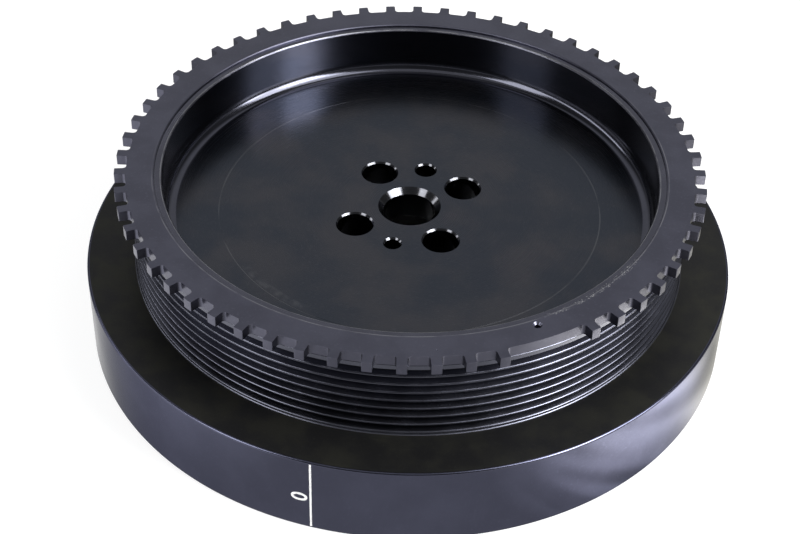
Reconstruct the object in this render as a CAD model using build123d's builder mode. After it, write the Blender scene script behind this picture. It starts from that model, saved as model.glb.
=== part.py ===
"""Harmonic balancer: a viscous crankshaft damper with a poly-V pulley and a toothed trigger ring.

The turned steel housing carries the hub web, the pulley and the damper chamber. A heavy inertia ring floats
in silicone fluid inside the chamber, on a bush and on thrust pads, and a welded cover plate closes it.

Frame: millimetres, +Z along the crankshaft axis towards the engine. The origin is the centre of the front
rim, on which the damper rests. The timing mark's azimuth is -Y, and so is the smaller hub hole's.
"""

import os
from math import cos, hypot, radians, sin, tan

from build123d import *

# Damper housing
housing_diameter = 233.0
housing_height = 30.7  # front rim to the shoulder around the pulley
housing_edge_chamfer = 0.8
outer_wall = 4.5
inner_wall = 6.0
roof_thickness = 4.5
front_recess_diameter = 128.0
front_recess_fillet = 4.0
rim_chamfer = 1.0

# Poly-V pulley
groove_count = 8
groove_pitch = 3.56
groove_angle = 40.0
rib_tip_width = 0.55
groove_root_width = 0.80
pulley_diameter = 197.8
pulley_wall = 11.3  # bowl to the ribs' tips
lower_land = 0.74  # shoulder to the first groove's edge
upper_land = 2.48  # last groove's edge to the trigger ring's seat
upper_land_proud = 0.6
upper_land_chamfer = 0.6
pulley_foot_fillet = 0.7

# Hub bowl, open to the engine
bowl_depth = 19.3  # rear face to the mounting face
bowl_fillet = 4.0
bowl_edge_chamfer = 0.5
web_thickness = 12.8

# Hub holes
pilot_bore_diameter = 18.6
pilot_chamfer = 2.0
bolt_circle_diameter = 44.6
bolt_count = 4
bolt_hole_diameter = 12.5
dowel_hole_diameter = 5.6
locator_hole_diameter = 7.2
hole_chamfer = 0.55

# Trigger ring, pressed over the bowl's rim
ring_thickness = 4.0
ring_rim_width = 9.7  # spigot to the tooth roots
tooth_height = 4.1
rim_spigot_wall = 2.7
rim_recess = 0.8  # trigger ring's rear face to the bowl's rim
tooth_pitches = 60
missing_teeth = 2
tooth_width = 3.5
tooth_root_fillet = 1.2
missing_tooth_azimuth = -49.0
index_hole_diameter = 1.8
index_countersink_diameter = 3.2
index_hole_depth = 2.5
index_hole_inset = 3.1  # spigot to the index hole's centre

# Cover plate
cover_thickness = 4.5
cover_recess = 0.6  # front rim to the cover's front face
cover_ledge = 1.6  # radial width of the ledge that each edge of the cover seats on
cover_clearance = 0.05

# Inertia ring and its bearings
film_gap = 0.4  # fluid gap all round the inertia ring
inertia_edge_chamfer = 1.5
bush_wall = 2.0
bush_length = 9.0
bush_running_clearance = 0.08
pad_count = 6
pad_diameter = 12.0
pad_thickness = 3.0
pad_running_clearance = 0.12
pad_clearance = 0.05

# Fill plugs
plug_count = 2
plug_head_diameter = 12.0
plug_head_height = 1.3
plug_shank_diameter = 8.0
plug_socket_flats = 4.0
plug_socket_depth = 1.9
plug_clearance = 0.15
plug_inner_setback = 0.3  # shank's end to the cover's inner face
seal_thickness = 0.8
seal_clearance = 0.4  # plug's shank to the sealing ring

# Heights that follow, from the front rim upwards
groove_stack_bottom = housing_height + lower_land
groove_stack_top = groove_stack_bottom + groove_count * groove_pitch
ring_seat_height = groove_stack_top + upper_land
overall_height = ring_seat_height + ring_thickness
rim_height = overall_height - rim_recess
mounting_face_height = overall_height - bowl_depth
web_front_height = mounting_face_height - web_thickness
cover_seat_height = cover_recess + cover_thickness
chamber_roof_height = housing_height - roof_thickness

# Radii that follow
housing_radius = housing_diameter / 2
pulley_radius = pulley_diameter / 2
upper_land_radius = pulley_radius + upper_land_proud
bowl_radius = pulley_radius - pulley_wall
spigot_radius = bowl_radius + rim_spigot_wall
ring_root_radius = spigot_radius + ring_rim_width
ring_tip_radius = ring_root_radius + tooth_height
pilot_bore_radius = pilot_bore_diameter / 2
bolt_circle_radius = bolt_circle_diameter / 2
front_recess_radius = front_recess_diameter / 2
chamber_inner_radius = front_recess_radius + inner_wall
chamber_outer_radius = housing_radius - outer_wall
cover_inner_seat_radius = chamber_inner_radius - cover_ledge
cover_outer_seat_radius = chamber_outer_radius + cover_ledge
groove_depth = (groove_pitch - rib_tip_width - groove_root_width) / 2 / tan(radians(groove_angle / 2))

os.makedirs("parts", exist_ok=True)


def corner(section, radius, height):
    """The vertex of a section sketch that lies nearest to a radius and a height."""
    return section.vertices().sort_by_distance((radius, height, 0))[0]


def round_edges(part, radius):
    """All circular edges of a part with the given radius."""
    return part.edges().filter_by(GeomType.CIRCLE).filter_by(lambda edge: abs(edge.radius - radius) < 1e-4)


# Housing: hub web, bowl, pulley and damper chamber, turned as one piece
with BuildPart() as housing:
    with BuildSketch(Plane.XZ) as housing_section:
        with BuildLine():
            Polyline(
                (pilot_bore_radius, web_front_height),
                (front_recess_radius, web_front_height),
                (front_recess_radius, 0),
                (cover_inner_seat_radius, 0),
                (cover_inner_seat_radius, cover_seat_height),
                (chamber_inner_radius, cover_seat_height),
                (chamber_inner_radius, chamber_roof_height),
                (chamber_outer_radius, chamber_roof_height),
                (chamber_outer_radius, cover_seat_height),
                (cover_outer_seat_radius, cover_seat_height),
                (cover_outer_seat_radius, 0),
                (housing_radius, 0),
                (housing_radius, housing_height),
                (pulley_radius, housing_height),
                (pulley_radius, groove_stack_top - groove_pitch / 2),
                (upper_land_radius, groove_stack_top - groove_pitch / 2),
                (upper_land_radius, ring_seat_height),
                (spigot_radius, ring_seat_height),
                (spigot_radius, rim_height),
                (bowl_radius, rim_height),
                (bowl_radius, mounting_face_height),
                (pilot_bore_radius, mounting_face_height),
                close=True,
            )
        make_face()
        fillet(corner(housing_section, bowl_radius, mounting_face_height), bowl_fillet)
        fillet(corner(housing_section, front_recess_radius, web_front_height), front_recess_fillet)
        fillet(corner(housing_section, pulley_radius, housing_height), pulley_foot_fillet)
        chamfer(corner(housing_section, bowl_radius, rim_height), bowl_edge_chamfer)
        chamfer(corner(housing_section, upper_land_radius, ring_seat_height), upper_land_chamfer)
        chamfer(corner(housing_section, housing_radius, housing_height), housing_edge_chamfer)
        chamfer(corner(housing_section, housing_radius, 0), housing_edge_chamfer)
        chamfer(corner(housing_section, front_recess_radius, 0), rim_chamfer)
        chamfer(corner(housing_section, pilot_bore_radius, mounting_face_height), pilot_chamfer)
        chamfer(corner(housing_section, pilot_bore_radius, web_front_height), rim_chamfer)
        # Each V groove is drawn past the upper land, so that its flanks run out of the solid
        groove_run_out = upper_land_proud + groove_root_width
        groove_mouth = groove_root_width + 2 * (groove_depth + groove_run_out) * tan(radians(groove_angle / 2))
        groove_heights = [groove_stack_bottom + (index + 0.5) * groove_pitch for index in range(groove_count)]
        with Locations(*[(pulley_radius, height) for height in groove_heights]):
            Polygon(
                (-groove_depth, -groove_root_width / 2),
                (groove_run_out, -groove_mouth / 2),
                (groove_run_out, groove_mouth / 2),
                (-groove_depth, groove_root_width / 2),
                align=None,
                mode=Mode.SUBTRACT,
            )
    revolve(axis=Axis.Z)
    with Locations(Plane.XY.offset(mounting_face_height)):
        with PolarLocations(bolt_circle_radius, bolt_count, start_angle=180 / bolt_count):
            Hole(bolt_hole_diameter / 2)
        with Locations((0, -bolt_circle_radius)):
            Hole(dowel_hole_diameter / 2)
        with Locations((0, bolt_circle_radius)):
            Hole(locator_hole_diameter / 2)
    for hole_diameter in (bolt_hole_diameter, dowel_hole_diameter, locator_hole_diameter):
        chamfer(round_edges(housing, hole_diameter / 2), hole_chamfer)
housing.part.label = "housing"
export_step(housing.part, "parts/housing.step")

# Trigger ring: 60 tooth pitches with two teeth left out as the reference gap
tooth_pitch_angle = 360 / tooth_pitches
first_tooth_azimuth = missing_tooth_azimuth + (missing_teeth + 1) / 2 * tooth_pitch_angle
with BuildPart() as tone_ring:
    with BuildSketch(Plane.XY.offset(ring_seat_height)) as tooth_outline:
        Circle(ring_root_radius)
        with PolarLocations(
            ring_root_radius,
            tooth_pitches - missing_teeth,
            start_angle=first_tooth_azimuth,
            angular_range=360 - (missing_teeth + 1) * tooth_pitch_angle,
            endpoint=True,
        ):
            Rectangle(2 * tooth_height, tooth_width)
        Circle(ring_tip_radius, mode=Mode.INTERSECT)
        mid_tooth_radius = (ring_root_radius + ring_tip_radius) / 2
        root_corners = tooth_outline.vertices().filter_by(lambda vertex: hypot(vertex.X, vertex.Y) < mid_tooth_radius)
        fillet(root_corners, tooth_root_fillet)
        Circle(spigot_radius, mode=Mode.SUBTRACT)
    extrude(amount=ring_thickness)
    index_hole_radius = spigot_radius + index_hole_inset
    with Locations(Plane.XY.offset(overall_height)):
        with Locations(
            (
                index_hole_radius * cos(radians(missing_tooth_azimuth)),
                index_hole_radius * sin(radians(missing_tooth_azimuth)),
            )
        ):
            CounterSinkHole(
                index_hole_diameter / 2, index_countersink_diameter / 2, index_hole_depth, counter_sink_angle=90
            )
tone_ring.part.label = "tone_ring"
export_step(tone_ring.part, "parts/tone_ring.step")

# Cover plate: seats on the two ledges of the chamber's mouth and holds the fill plugs
cover_inner_radius = cover_inner_seat_radius + cover_clearance
cover_outer_radius = cover_outer_seat_radius - cover_clearance
plug_circle_radius = (chamber_inner_radius + chamber_outer_radius) / 2
plug_counterbore_radius = plug_head_diameter / 2 + plug_clearance
plug_counterbore_depth = plug_head_height + seal_thickness
with BuildPart() as cover_plate:
    with BuildSketch(Plane.XY.offset(cover_recess)):
        Circle(cover_outer_radius)
        Circle(cover_inner_radius, mode=Mode.SUBTRACT)
    extrude(amount=cover_thickness)
    with Locations(Plane.XY.offset(cover_recess).rotated((180, 0, 0))):
        with PolarLocations(plug_circle_radius, plug_count):
            CounterBoreHole(
                plug_shank_diameter / 2 + plug_clearance, plug_counterbore_radius, plug_counterbore_depth
            )
cover_plate.part.label = "cover_plate"
export_step(cover_plate.part, "parts/cover_plate.step")

# Fill plugs and their sealing rings, head down in the cover's front face
for index in range(plug_count):
    azimuth = radians(360 / plug_count * index)
    plug_centre = (plug_circle_radius * cos(azimuth), plug_circle_radius * sin(azimuth))
    with BuildPart() as fill_plug:
        with BuildSketch(Plane.XY.offset(cover_recess)):
            with Locations(plug_centre):
                Circle(plug_head_diameter / 2)
        extrude(amount=plug_head_height)
        with BuildSketch(Plane.XY.offset(cover_recess + plug_head_height)):
            with Locations(plug_centre):
                Circle(plug_shank_diameter / 2)
        extrude(amount=cover_thickness - plug_head_height - plug_inner_setback)
        with BuildSketch(Plane.XY.offset(cover_recess)):
            with Locations(plug_centre):
                RegularPolygon(plug_socket_flats / 2, 6, major_radius=False)
        extrude(amount=plug_socket_depth, mode=Mode.SUBTRACT)
    fill_plug.part.label = f"fill_plug_{index + 1}"
    export_step(fill_plug.part, f"parts/fill_plug_{index + 1}.step")
    with BuildPart() as plug_seal:
        with BuildSketch(Plane.XY.offset(cover_recess + plug_head_height)):
            with Locations(plug_centre):
                Circle(plug_head_diameter / 2)
                Circle(plug_shank_diameter / 2 + seal_clearance, mode=Mode.SUBTRACT)
        extrude(amount=seal_thickness)
    plug_seal.part.label = f"plug_seal_{index + 1}"
    export_step(plug_seal.part, f"parts/plug_seal_{index + 1}.step")

# Inertia ring: fills the chamber but for the fluid gap, with pockets for its bearings
inertia_inner_radius = chamber_inner_radius + film_gap
inertia_outer_radius = chamber_outer_radius - film_gap
inertia_bottom = cover_seat_height + film_gap
inertia_top = chamber_roof_height - film_gap
bush_inner_radius = chamber_inner_radius + bush_running_clearance
bush_outer_radius = bush_inner_radius + bush_wall
pad_circle_radius = (inertia_inner_radius + inertia_outer_radius) / 2
pad_proud = film_gap - pad_running_clearance
pad_pocket_depth = pad_thickness - pad_proud
with BuildPart() as inertia_ring:
    with BuildSketch(Plane.XZ) as inertia_section:
        with BuildLine():
            Polyline(
                (inertia_inner_radius, inertia_bottom),
                (inertia_outer_radius, inertia_bottom),
                (inertia_outer_radius, inertia_top),
                (bush_outer_radius, inertia_top),
                (bush_outer_radius, inertia_top - bush_length),
                (inertia_inner_radius, inertia_top - bush_length),
                close=True,
            )
        make_face()
        chamfer(corner(inertia_section, inertia_outer_radius, inertia_bottom), inertia_edge_chamfer)
        chamfer(corner(inertia_section, inertia_outer_radius, inertia_top), inertia_edge_chamfer)
    revolve(axis=Axis.Z)
    for face_plane in (
        Plane.XY.offset(inertia_top),
        Plane.XY.offset(inertia_bottom).rotated((180, 0, 0)),
    ):
        with Locations(face_plane):
            with PolarLocations(pad_circle_radius, pad_count):
                Hole(pad_diameter / 2, depth=pad_pocket_depth)
inertia_ring.part.label = "inertia_ring"
export_step(inertia_ring.part, "parts/inertia_ring.step")

# Radial bush, pressed into the inertia ring and running on the chamber's inner wall
with BuildPart() as radial_bush:
    with BuildSketch(Plane.XY.offset(inertia_top - bush_length)):
        Circle(bush_outer_radius)
        Circle(bush_inner_radius, mode=Mode.SUBTRACT)
    extrude(amount=bush_length)
radial_bush.part.label = "radial_bush"
export_step(radial_bush.part, "parts/radial_bush.step")

# Thrust pads, seated on the floors of their pockets and proud of the inertia ring's faces
pad_heights = {
    "cover_side_pad": inertia_bottom - pad_proud,
    "roof_side_pad": inertia_top - pad_pocket_depth,
}
for pad_name, pad_height in pad_heights.items():
    for index in range(pad_count):
        azimuth = radians(360 / pad_count * index)
        with BuildPart() as thrust_pad:
            with BuildSketch(Plane.XY.offset(pad_height)):
                with Locations((pad_circle_radius * cos(azimuth), pad_circle_radius * sin(azimuth))):
                    Circle(pad_diameter / 2 - pad_clearance)
            extrude(amount=pad_thickness)
        thrust_pad.part.label = f"{pad_name}_{index + 1}"
        export_step(thrust_pad.part, f"parts/{pad_name}_{index + 1}.step")
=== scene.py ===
"""Looks of a viscous crankshaft damper: turned black steel, a toothed trigger ring and a poly-V pulley.

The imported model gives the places: heights and outer radii are read from the boxes of its nodes, and the smaller
sizes are fields of the class that makes the piece. Sizes are in millimetres and angles in degrees until they
reach the mesh, which is in metres, with +Z along the shaft towards the engine and the timing line on -Y.
"""

import logging
import math
from collections.abc import Callable, Iterable
from dataclasses import dataclass, field
from enum import Enum

import bmesh
import bpy
from mathutils import Matrix, Vector

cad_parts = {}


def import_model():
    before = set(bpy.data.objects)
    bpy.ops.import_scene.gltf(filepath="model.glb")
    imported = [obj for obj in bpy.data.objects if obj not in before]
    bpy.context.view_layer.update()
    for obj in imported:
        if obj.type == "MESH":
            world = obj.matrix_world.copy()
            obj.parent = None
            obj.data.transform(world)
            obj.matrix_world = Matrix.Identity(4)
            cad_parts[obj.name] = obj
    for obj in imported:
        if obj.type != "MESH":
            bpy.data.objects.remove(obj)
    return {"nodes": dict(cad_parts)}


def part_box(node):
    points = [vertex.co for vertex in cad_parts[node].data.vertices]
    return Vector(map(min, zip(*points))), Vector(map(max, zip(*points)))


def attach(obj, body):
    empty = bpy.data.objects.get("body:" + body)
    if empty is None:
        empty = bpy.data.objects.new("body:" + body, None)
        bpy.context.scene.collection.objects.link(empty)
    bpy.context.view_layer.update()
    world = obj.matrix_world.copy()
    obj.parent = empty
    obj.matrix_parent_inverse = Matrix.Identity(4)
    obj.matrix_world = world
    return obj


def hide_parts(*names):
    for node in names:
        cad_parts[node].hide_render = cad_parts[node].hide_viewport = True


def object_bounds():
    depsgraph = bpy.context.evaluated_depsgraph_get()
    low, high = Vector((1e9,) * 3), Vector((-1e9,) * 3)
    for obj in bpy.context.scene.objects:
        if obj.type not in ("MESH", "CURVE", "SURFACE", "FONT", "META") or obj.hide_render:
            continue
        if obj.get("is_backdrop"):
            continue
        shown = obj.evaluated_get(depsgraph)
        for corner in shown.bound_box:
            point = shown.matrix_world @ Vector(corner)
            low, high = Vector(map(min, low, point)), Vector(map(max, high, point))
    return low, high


MM = 0.001
FULL_TURN = 2 * math.pi
MERGE_DISTANCE = 2e-6
NOISE_ROUGHNESS = 0.55

log = logging.getLogger("damper")

Colour = tuple[float, float, float]
BARE_STEEL: Colour = (0.56, 0.56, 0.57)


class Body(Enum):
    """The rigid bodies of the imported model."""

    HUB = "hub"
    INERTIA = "inertia"


# --- Bench work: what the classes below share when they model a piece ---


def polar(radius: float, azimuth: float, height: float = 0.0) -> Vector:
    """A point in millimetres from its cylindrical place.

    Args:
        radius: distance from the shaft's axis.
        azimuth: angle from +X, in degrees.
        height: distance above the front rim.

    Returns:
        The point, in millimetres.
    """
    angle = math.radians(azimuth)
    return Vector((radius * math.cos(angle), radius * math.sin(angle), height))


def toward(azimuth: float, elevation: float) -> Vector:
    """The unit vector that points to an azimuth and an elevation, both in degrees."""
    angle = math.radians(elevation)
    return polar(math.cos(angle), azimuth, math.sin(angle))


def deselect_all() -> None:
    """Leaves no object selected, so that an operator acts only on what is picked next."""
    if bpy.context.object and bpy.context.object.mode != "OBJECT":
        bpy.ops.object.mode_set(mode="OBJECT")
    bpy.ops.object.select_all(action="DESELECT")


def pick(piece: bpy.types.Object) -> None:
    """Makes one piece the only selected one, and the active one."""
    deselect_all()
    piece.select_set(True)
    bpy.context.view_layer.objects.active = piece


def pick_parts(chosen: Callable[[Vector], bool], kind: str = "VERT") -> int:
    """Selects parts of the mesh in edit mode by their place.

    Args:
        chosen: says for a point in millimetres whether to take it; an edge or a face is asked by its middle.
        kind: "VERT", "EDGE" or "FACE".

    Returns:
        How many parts were selected.
    """
    bpy.ops.mesh.select_mode(type=kind)
    bpy.ops.mesh.select_all(action="DESELECT")
    mesh = bpy.context.object.data
    cage = bmesh.from_edit_mesh(mesh)
    if kind == "VERT":
        parts = [(vertex, vertex.co) for vertex in cage.verts]
    elif kind == "EDGE":
        parts = [(edge, (edge.verts[0].co + edge.verts[1].co) / 2) for edge in cage.edges]
    else:
        parts = [(face, face.calc_center_median()) for face in cage.faces]
    taken = 0
    for part, place in parts:
        if chosen(place / MM):
            part.select_set(True)
            taken += 1
    cage.select_flush_mode()
    bmesh.update_edit_mesh(mesh)
    return taken


def start_wire(name: str, point: Vector) -> bpy.types.Object:
    """Adds a piece that is a single vertex, and leaves it in edit mode.

    Args:
        name: the piece's name.
        point: where the vertex is, in millimetres.

    Returns:
        The new piece.
    """
    deselect_all()
    bpy.ops.mesh.primitive_plane_add(size=MM)
    piece = bpy.context.object
    piece.name = name
    piece.data.name = name
    bpy.ops.object.mode_set(mode="EDIT")
    bpy.ops.mesh.select_mode(type="VERT")
    bpy.ops.mesh.select_all(action="SELECT")
    bpy.ops.mesh.merge(type="CENTER")
    bpy.ops.transform.translate(value=point * MM)
    return piece


def draw_wire(name: str, points: list[Vector]) -> bpy.types.Object:
    """Draws a closed outline by extruding a vertex from corner to corner.

    Args:
        name: the piece's name.
        points: the outline's corners in order, in millimetres.

    Returns:
        The piece, in edit mode, with the whole outline selected.
    """
    piece = start_wire(name, points[0])
    for before, after in zip(points, points[1:]):
        bpy.ops.mesh.extrude_region_move(TRANSFORM_OT_translate={"value": (after - before) * MM})
    ends = (points[0], points[-1])
    pick_parts(lambda place: any((place - end).length < 1e-3 for end in ends))
    bpy.ops.mesh.edge_face_add()
    bpy.ops.mesh.select_all(action="SELECT")
    return piece


def break_corners(corners: Iterable[Vector], size: float, segments: int) -> None:
    """Rounds or chamfers corners of an outline in edit mode.

    Args:
        corners: the corners' places, in millimetres.
        size: how far along each side the break reaches, in millimetres.
        segments: 1 for a chamfer, and more for a rounded corner.
    """
    places = list(corners)
    pick_parts(lambda place: any((place - corner).length < 1e-3 for corner in places))
    bpy.ops.mesh.bevel(
        offset=size * MM, offset_type="OFFSET", segments=segments, profile=0.5, affect="VERTICES", clamp_overlap=False
    )


def close_surface() -> None:
    """Merges doubles in edit mode, points the faces outwards and leaves edit mode."""
    bpy.ops.mesh.select_mode(type="VERT")
    bpy.ops.mesh.select_all(action="SELECT")
    bpy.ops.mesh.remove_doubles(threshold=MERGE_DISTANCE)
    bpy.ops.mesh.normals_make_consistent(inside=False)
    bpy.ops.object.mode_set(mode="OBJECT")


def spin_wire(steps: int, centre: Vector = Vector((0, 0, 0))) -> None:
    """Turns the selected outline once round an axis along Z, and closes the surface.

    Args:
        steps: how many faces go round.
        centre: a point on the axis, in millimetres.
    """
    bpy.ops.mesh.spin(steps=steps, angle=FULL_TURN, center=centre * MM, axis=(0, 0, 1))
    close_surface()


def apply_modifier(piece: bpy.types.Object, kind: str, **settings: object) -> None:
    """Adds one modifier to a piece, sets it and applies it."""
    pick(piece)
    bpy.ops.object.modifier_add(type=kind)
    modifier = piece.modifiers[-1]
    for name, value in settings.items():
        setattr(modifier, name, value)
    bpy.ops.object.modifier_apply(modifier=modifier.name)


def cut_away(piece: bpy.types.Object, cutter: bpy.types.Object) -> None:
    """Cuts one closed piece out of another and throws the cutter away."""
    apply_modifier(piece, "BOOLEAN", object=cutter, operation="DIFFERENCE", solver="EXACT")
    bpy.data.objects.remove(cutter)


def join_pieces(pieces: list[bpy.types.Object], name: str) -> bpy.types.Object:
    """Joins pieces into the first of them.

    Args:
        pieces: what is joined.
        name: the joined piece's name.

    Returns:
        The joined piece.
    """
    pick(pieces[0])
    for piece in pieces:
        piece.select_set(True)
    bpy.ops.object.join()
    joined = bpy.context.object
    joined.name = name
    joined.data.name = name
    return joined


def smooth(piece: bpy.types.Object, angle: float = 32.0) -> None:
    """Shades a finished mesh smooth up to an angle, with flat faces kept flat."""
    pick(piece)
    bpy.ops.object.shade_smooth_by_angle(angle=math.radians(angle))
    apply_modifier(piece, "WEIGHTED_NORMAL", keep_sharp=True)


def paint(piece: bpy.types.Object, finish: bpy.types.Material) -> None:
    """Gives the whole of a piece one finish, in place of any that it has."""
    piece.data.materials.clear()
    piece.data.materials.append(finish)


def dress_zone(piece: bpy.types.Object, finish: bpy.types.Material, zone: Callable[[Vector], bool]) -> None:
    """Gives a finish to the faces of a piece whose middles lie in a zone.

    Args:
        piece: the piece to dress.
        finish: the zone's material.
        zone: says for a point in millimetres whether it lies in the zone.
    """
    pick(piece)
    bpy.ops.object.material_slot_add()
    piece.active_material = finish
    bpy.ops.object.mode_set(mode="EDIT")
    pick_parts(zone, "FACE")
    bpy.ops.object.material_slot_assign()
    bpy.ops.object.mode_set(mode="OBJECT")


def place_on(piece: bpy.types.Object, body: Body, slot: str, *nodes: str) -> None:
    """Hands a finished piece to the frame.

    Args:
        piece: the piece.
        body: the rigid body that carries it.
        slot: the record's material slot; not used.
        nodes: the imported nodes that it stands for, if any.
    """
    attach(piece, body.value)
    if nodes:
        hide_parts(*nodes)
    triangles = sum(len(face.vertices) - 2 for face in piece.data.polygons)
    log.info("%s: %d triangles, rides on %s", piece.name, triangles, body.value)


# --- Finishes ---


class NodeBoard:
    """Adds shader nodes to a node tree and links them."""

    def __init__(self, tree: bpy.types.NodeTree) -> None:
        """Takes the tree that the nodes go into."""
        self.nodes = tree.nodes
        self.links = tree.links

    def add(self, kind: str, **settings: object) -> bpy.types.Node:
        """Adds a node and sets its properties."""
        node = self.nodes.new(kind)
        for name, value in settings.items():
            setattr(node, name, value)
        return node

    def feed(self, socket: bpy.types.NodeSocket, value: object) -> None:
        """Links an output to a socket, or sets the socket to a plain value."""
        if isinstance(value, bpy.types.NodeSocket):
            self.links.new(value, socket)
        else:
            socket.default_value = value

    def maths(self, operation: str, *values: object, clamp: bool = False) -> bpy.types.NodeSocket:
        """Adds a Math node.

        Args:
            operation: the node's operation.
            values: its inputs, each an output socket or a number.
            clamp: whether the result is kept between 0 and 1.

        Returns:
            The node's output.
        """
        node = self.add("ShaderNodeMath", operation=operation, use_clamp=clamp)
        for socket, value in zip(node.inputs, values):
            self.feed(socket, value)
        return node.outputs[0]

    def dot(self, vector: object, direction: Vector) -> bpy.types.NodeSocket:
        """The length of a vector along a unit direction."""
        node = self.add("ShaderNodeVectorMath", operation="DOT_PRODUCT")
        self.feed(node.inputs[0], vector)
        node.inputs[1].default_value = direction
        return node.outputs["Value"]

    def ramp(
        self, value: object, low: float, high: float, start: float = 0.0, end: float = 1.0
    ) -> bpy.types.NodeSocket:
        """A smooth step of a value: start below low, and end above high."""
        node = self.add("ShaderNodeMapRange", interpolation_type="SMOOTHSTEP")
        for name, number in (("From Min", low), ("From Max", high), ("To Min", start), ("To Max", end)):
            node.inputs[name].default_value = number
        self.feed(node.inputs["Value"], value)
        return node.outputs["Result"]

    def blend(self, share: object, first: object, second: object) -> bpy.types.NodeSocket:
        """Mixes two colours, each an output or a colour of three numbers."""
        node = self.add("ShaderNodeMix", data_type="RGBA")
        sockets = [socket for socket in node.inputs if socket.type == "RGBA"]
        self.feed(node.inputs["Factor"], share)
        for socket, value in zip(sockets, (first, second)):
            self.feed(socket, (*value, 1.0) if isinstance(value, tuple) else value)
        return next(socket for socket in node.outputs if socket.type == "RGBA")


class MaterialBoard(NodeBoard):
    """The nodes of one new material, which has a Principled shader."""

    def __init__(self, name: str) -> None:
        """Starts the material."""
        self.material = bpy.data.materials.new(name)
        self.material.use_nodes = True
        super().__init__(self.material.node_tree)
        self.shader = self.nodes["Principled BSDF"]
        self.place = self.add("ShaderNodeTexCoord").outputs["Object"]

    def noise(self, size: float, detail: float = 2.0, place: object = None) -> bpy.types.NodeSocket:
        """Noise with features of about a size.

        Args:
            size: feature size, in millimetres.
            detail: how many finer layers are added.
            place: the vector it is read at; the object's own coordinates if it is None.

        Returns:
            The noise's value, about 0.5 on average.
        """
        node = self.add("ShaderNodeTexNoise", noise_dimensions="3D")
        self.feed(node.inputs["Vector"], place or self.place)
        node.inputs["Scale"].default_value = 1 / (size * MM)
        node.inputs["Detail"].default_value = detail
        node.inputs["Roughness"].default_value = NOISE_ROUGHNESS
        return node.outputs[0]

    def turned_radius(self) -> bpy.types.NodeSocket:
        """The distance from the shaft's axis, in metres."""
        parts = self.add("ShaderNodeSeparateXYZ")
        self.feed(parts.inputs[0], self.place)
        return self.maths("SQRT", self.maths("ADD", self.square(parts.outputs[0]), self.square(parts.outputs[1])))

    def turned_place(self) -> bpy.types.NodeSocket:
        """The place folded round the shaft: radius, zero and height, so that a pattern on it runs in circles."""
        parts = self.add("ShaderNodeSeparateXYZ")
        self.feed(parts.inputs[0], self.place)
        folded = self.add("ShaderNodeCombineXYZ")
        self.feed(folded.inputs[0], self.turned_radius())
        self.feed(folded.inputs[2], parts.outputs[2])
        return folded.outputs[0]

    def square(self, value: object) -> bpy.types.NodeSocket:
        """A value times itself."""
        return self.maths("MULTIPLY", value, value)

    def bump(self, height: object, depth: float) -> None:
        """Adds relief to the shader.

        Args:
            height: the relief's shape, from 0 to 1.
            depth: its full depth, in millimetres.
        """
        node = self.add("ShaderNodeBump")
        node.inputs["Strength"].default_value = 1.0
        node.inputs["Distance"].default_value = depth * MM
        self.feed(node.inputs["Height"], height)
        if self.shader.inputs["Normal"].links:
            self.feed(node.inputs["Normal"], self.shader.inputs["Normal"].links[0].from_socket)
        self.feed(self.shader.inputs["Normal"], node.outputs[0])


@dataclass(frozen=True)
class WearAndHighlight:
    """A ring, or part of one, blended towards bright steel: oxide worn or chipped through to the steel, a faint pale
    line at the turning step, and a painted highlight along the trigger ring's bore edge.

    It lies within `reach` of a radius and within `spread` of an azimuth. Bright spots of about the `grain` size
    stand where the noise passes from `low` to `high`, and `strength` is their share of bright steel.
    """

    radius: float
    reach: float
    grain: float
    low: float
    high: float
    strength: float
    azimuth: float = 0.0
    spread: float = 180.0

    def mask(self, board: MaterialBoard) -> bpy.types.NodeSocket:
        """Share of bright steel at each place.

        Args:
            board: the material's nodes.

        Returns:
            The share, from 0 to the strength.
        """
        away = board.maths("ABSOLUTE", board.maths("SUBTRACT", board.turned_radius(), self.radius * MM))
        near = board.ramp(away, 0.4 * self.reach * MM, self.reach * MM, self.strength, 0.0)
        broken = board.ramp(board.noise(self.grain, detail=2.0), self.low, self.high)
        share = board.maths("MULTIPLY", near, broken)
        if self.spread >= 180.0:
            return share
        level = board.add("ShaderNodeVectorMath", operation="MULTIPLY")
        board.feed(level.inputs[0], board.place)
        level.inputs[1].default_value = (1.0, 1.0, 0.0)
        flat = board.add("ShaderNodeVectorMath", operation="NORMALIZE")
        board.feed(flat.inputs[0], level.outputs[0])
        facing = board.dot(flat.outputs[0], polar(1.0, self.azimuth))
        edge = math.cos(math.radians(self.spread))
        middle = math.cos(math.radians(0.6 * self.spread))
        return board.maths("MULTIPLY", share, board.ramp(facing, edge, middle))


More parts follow.
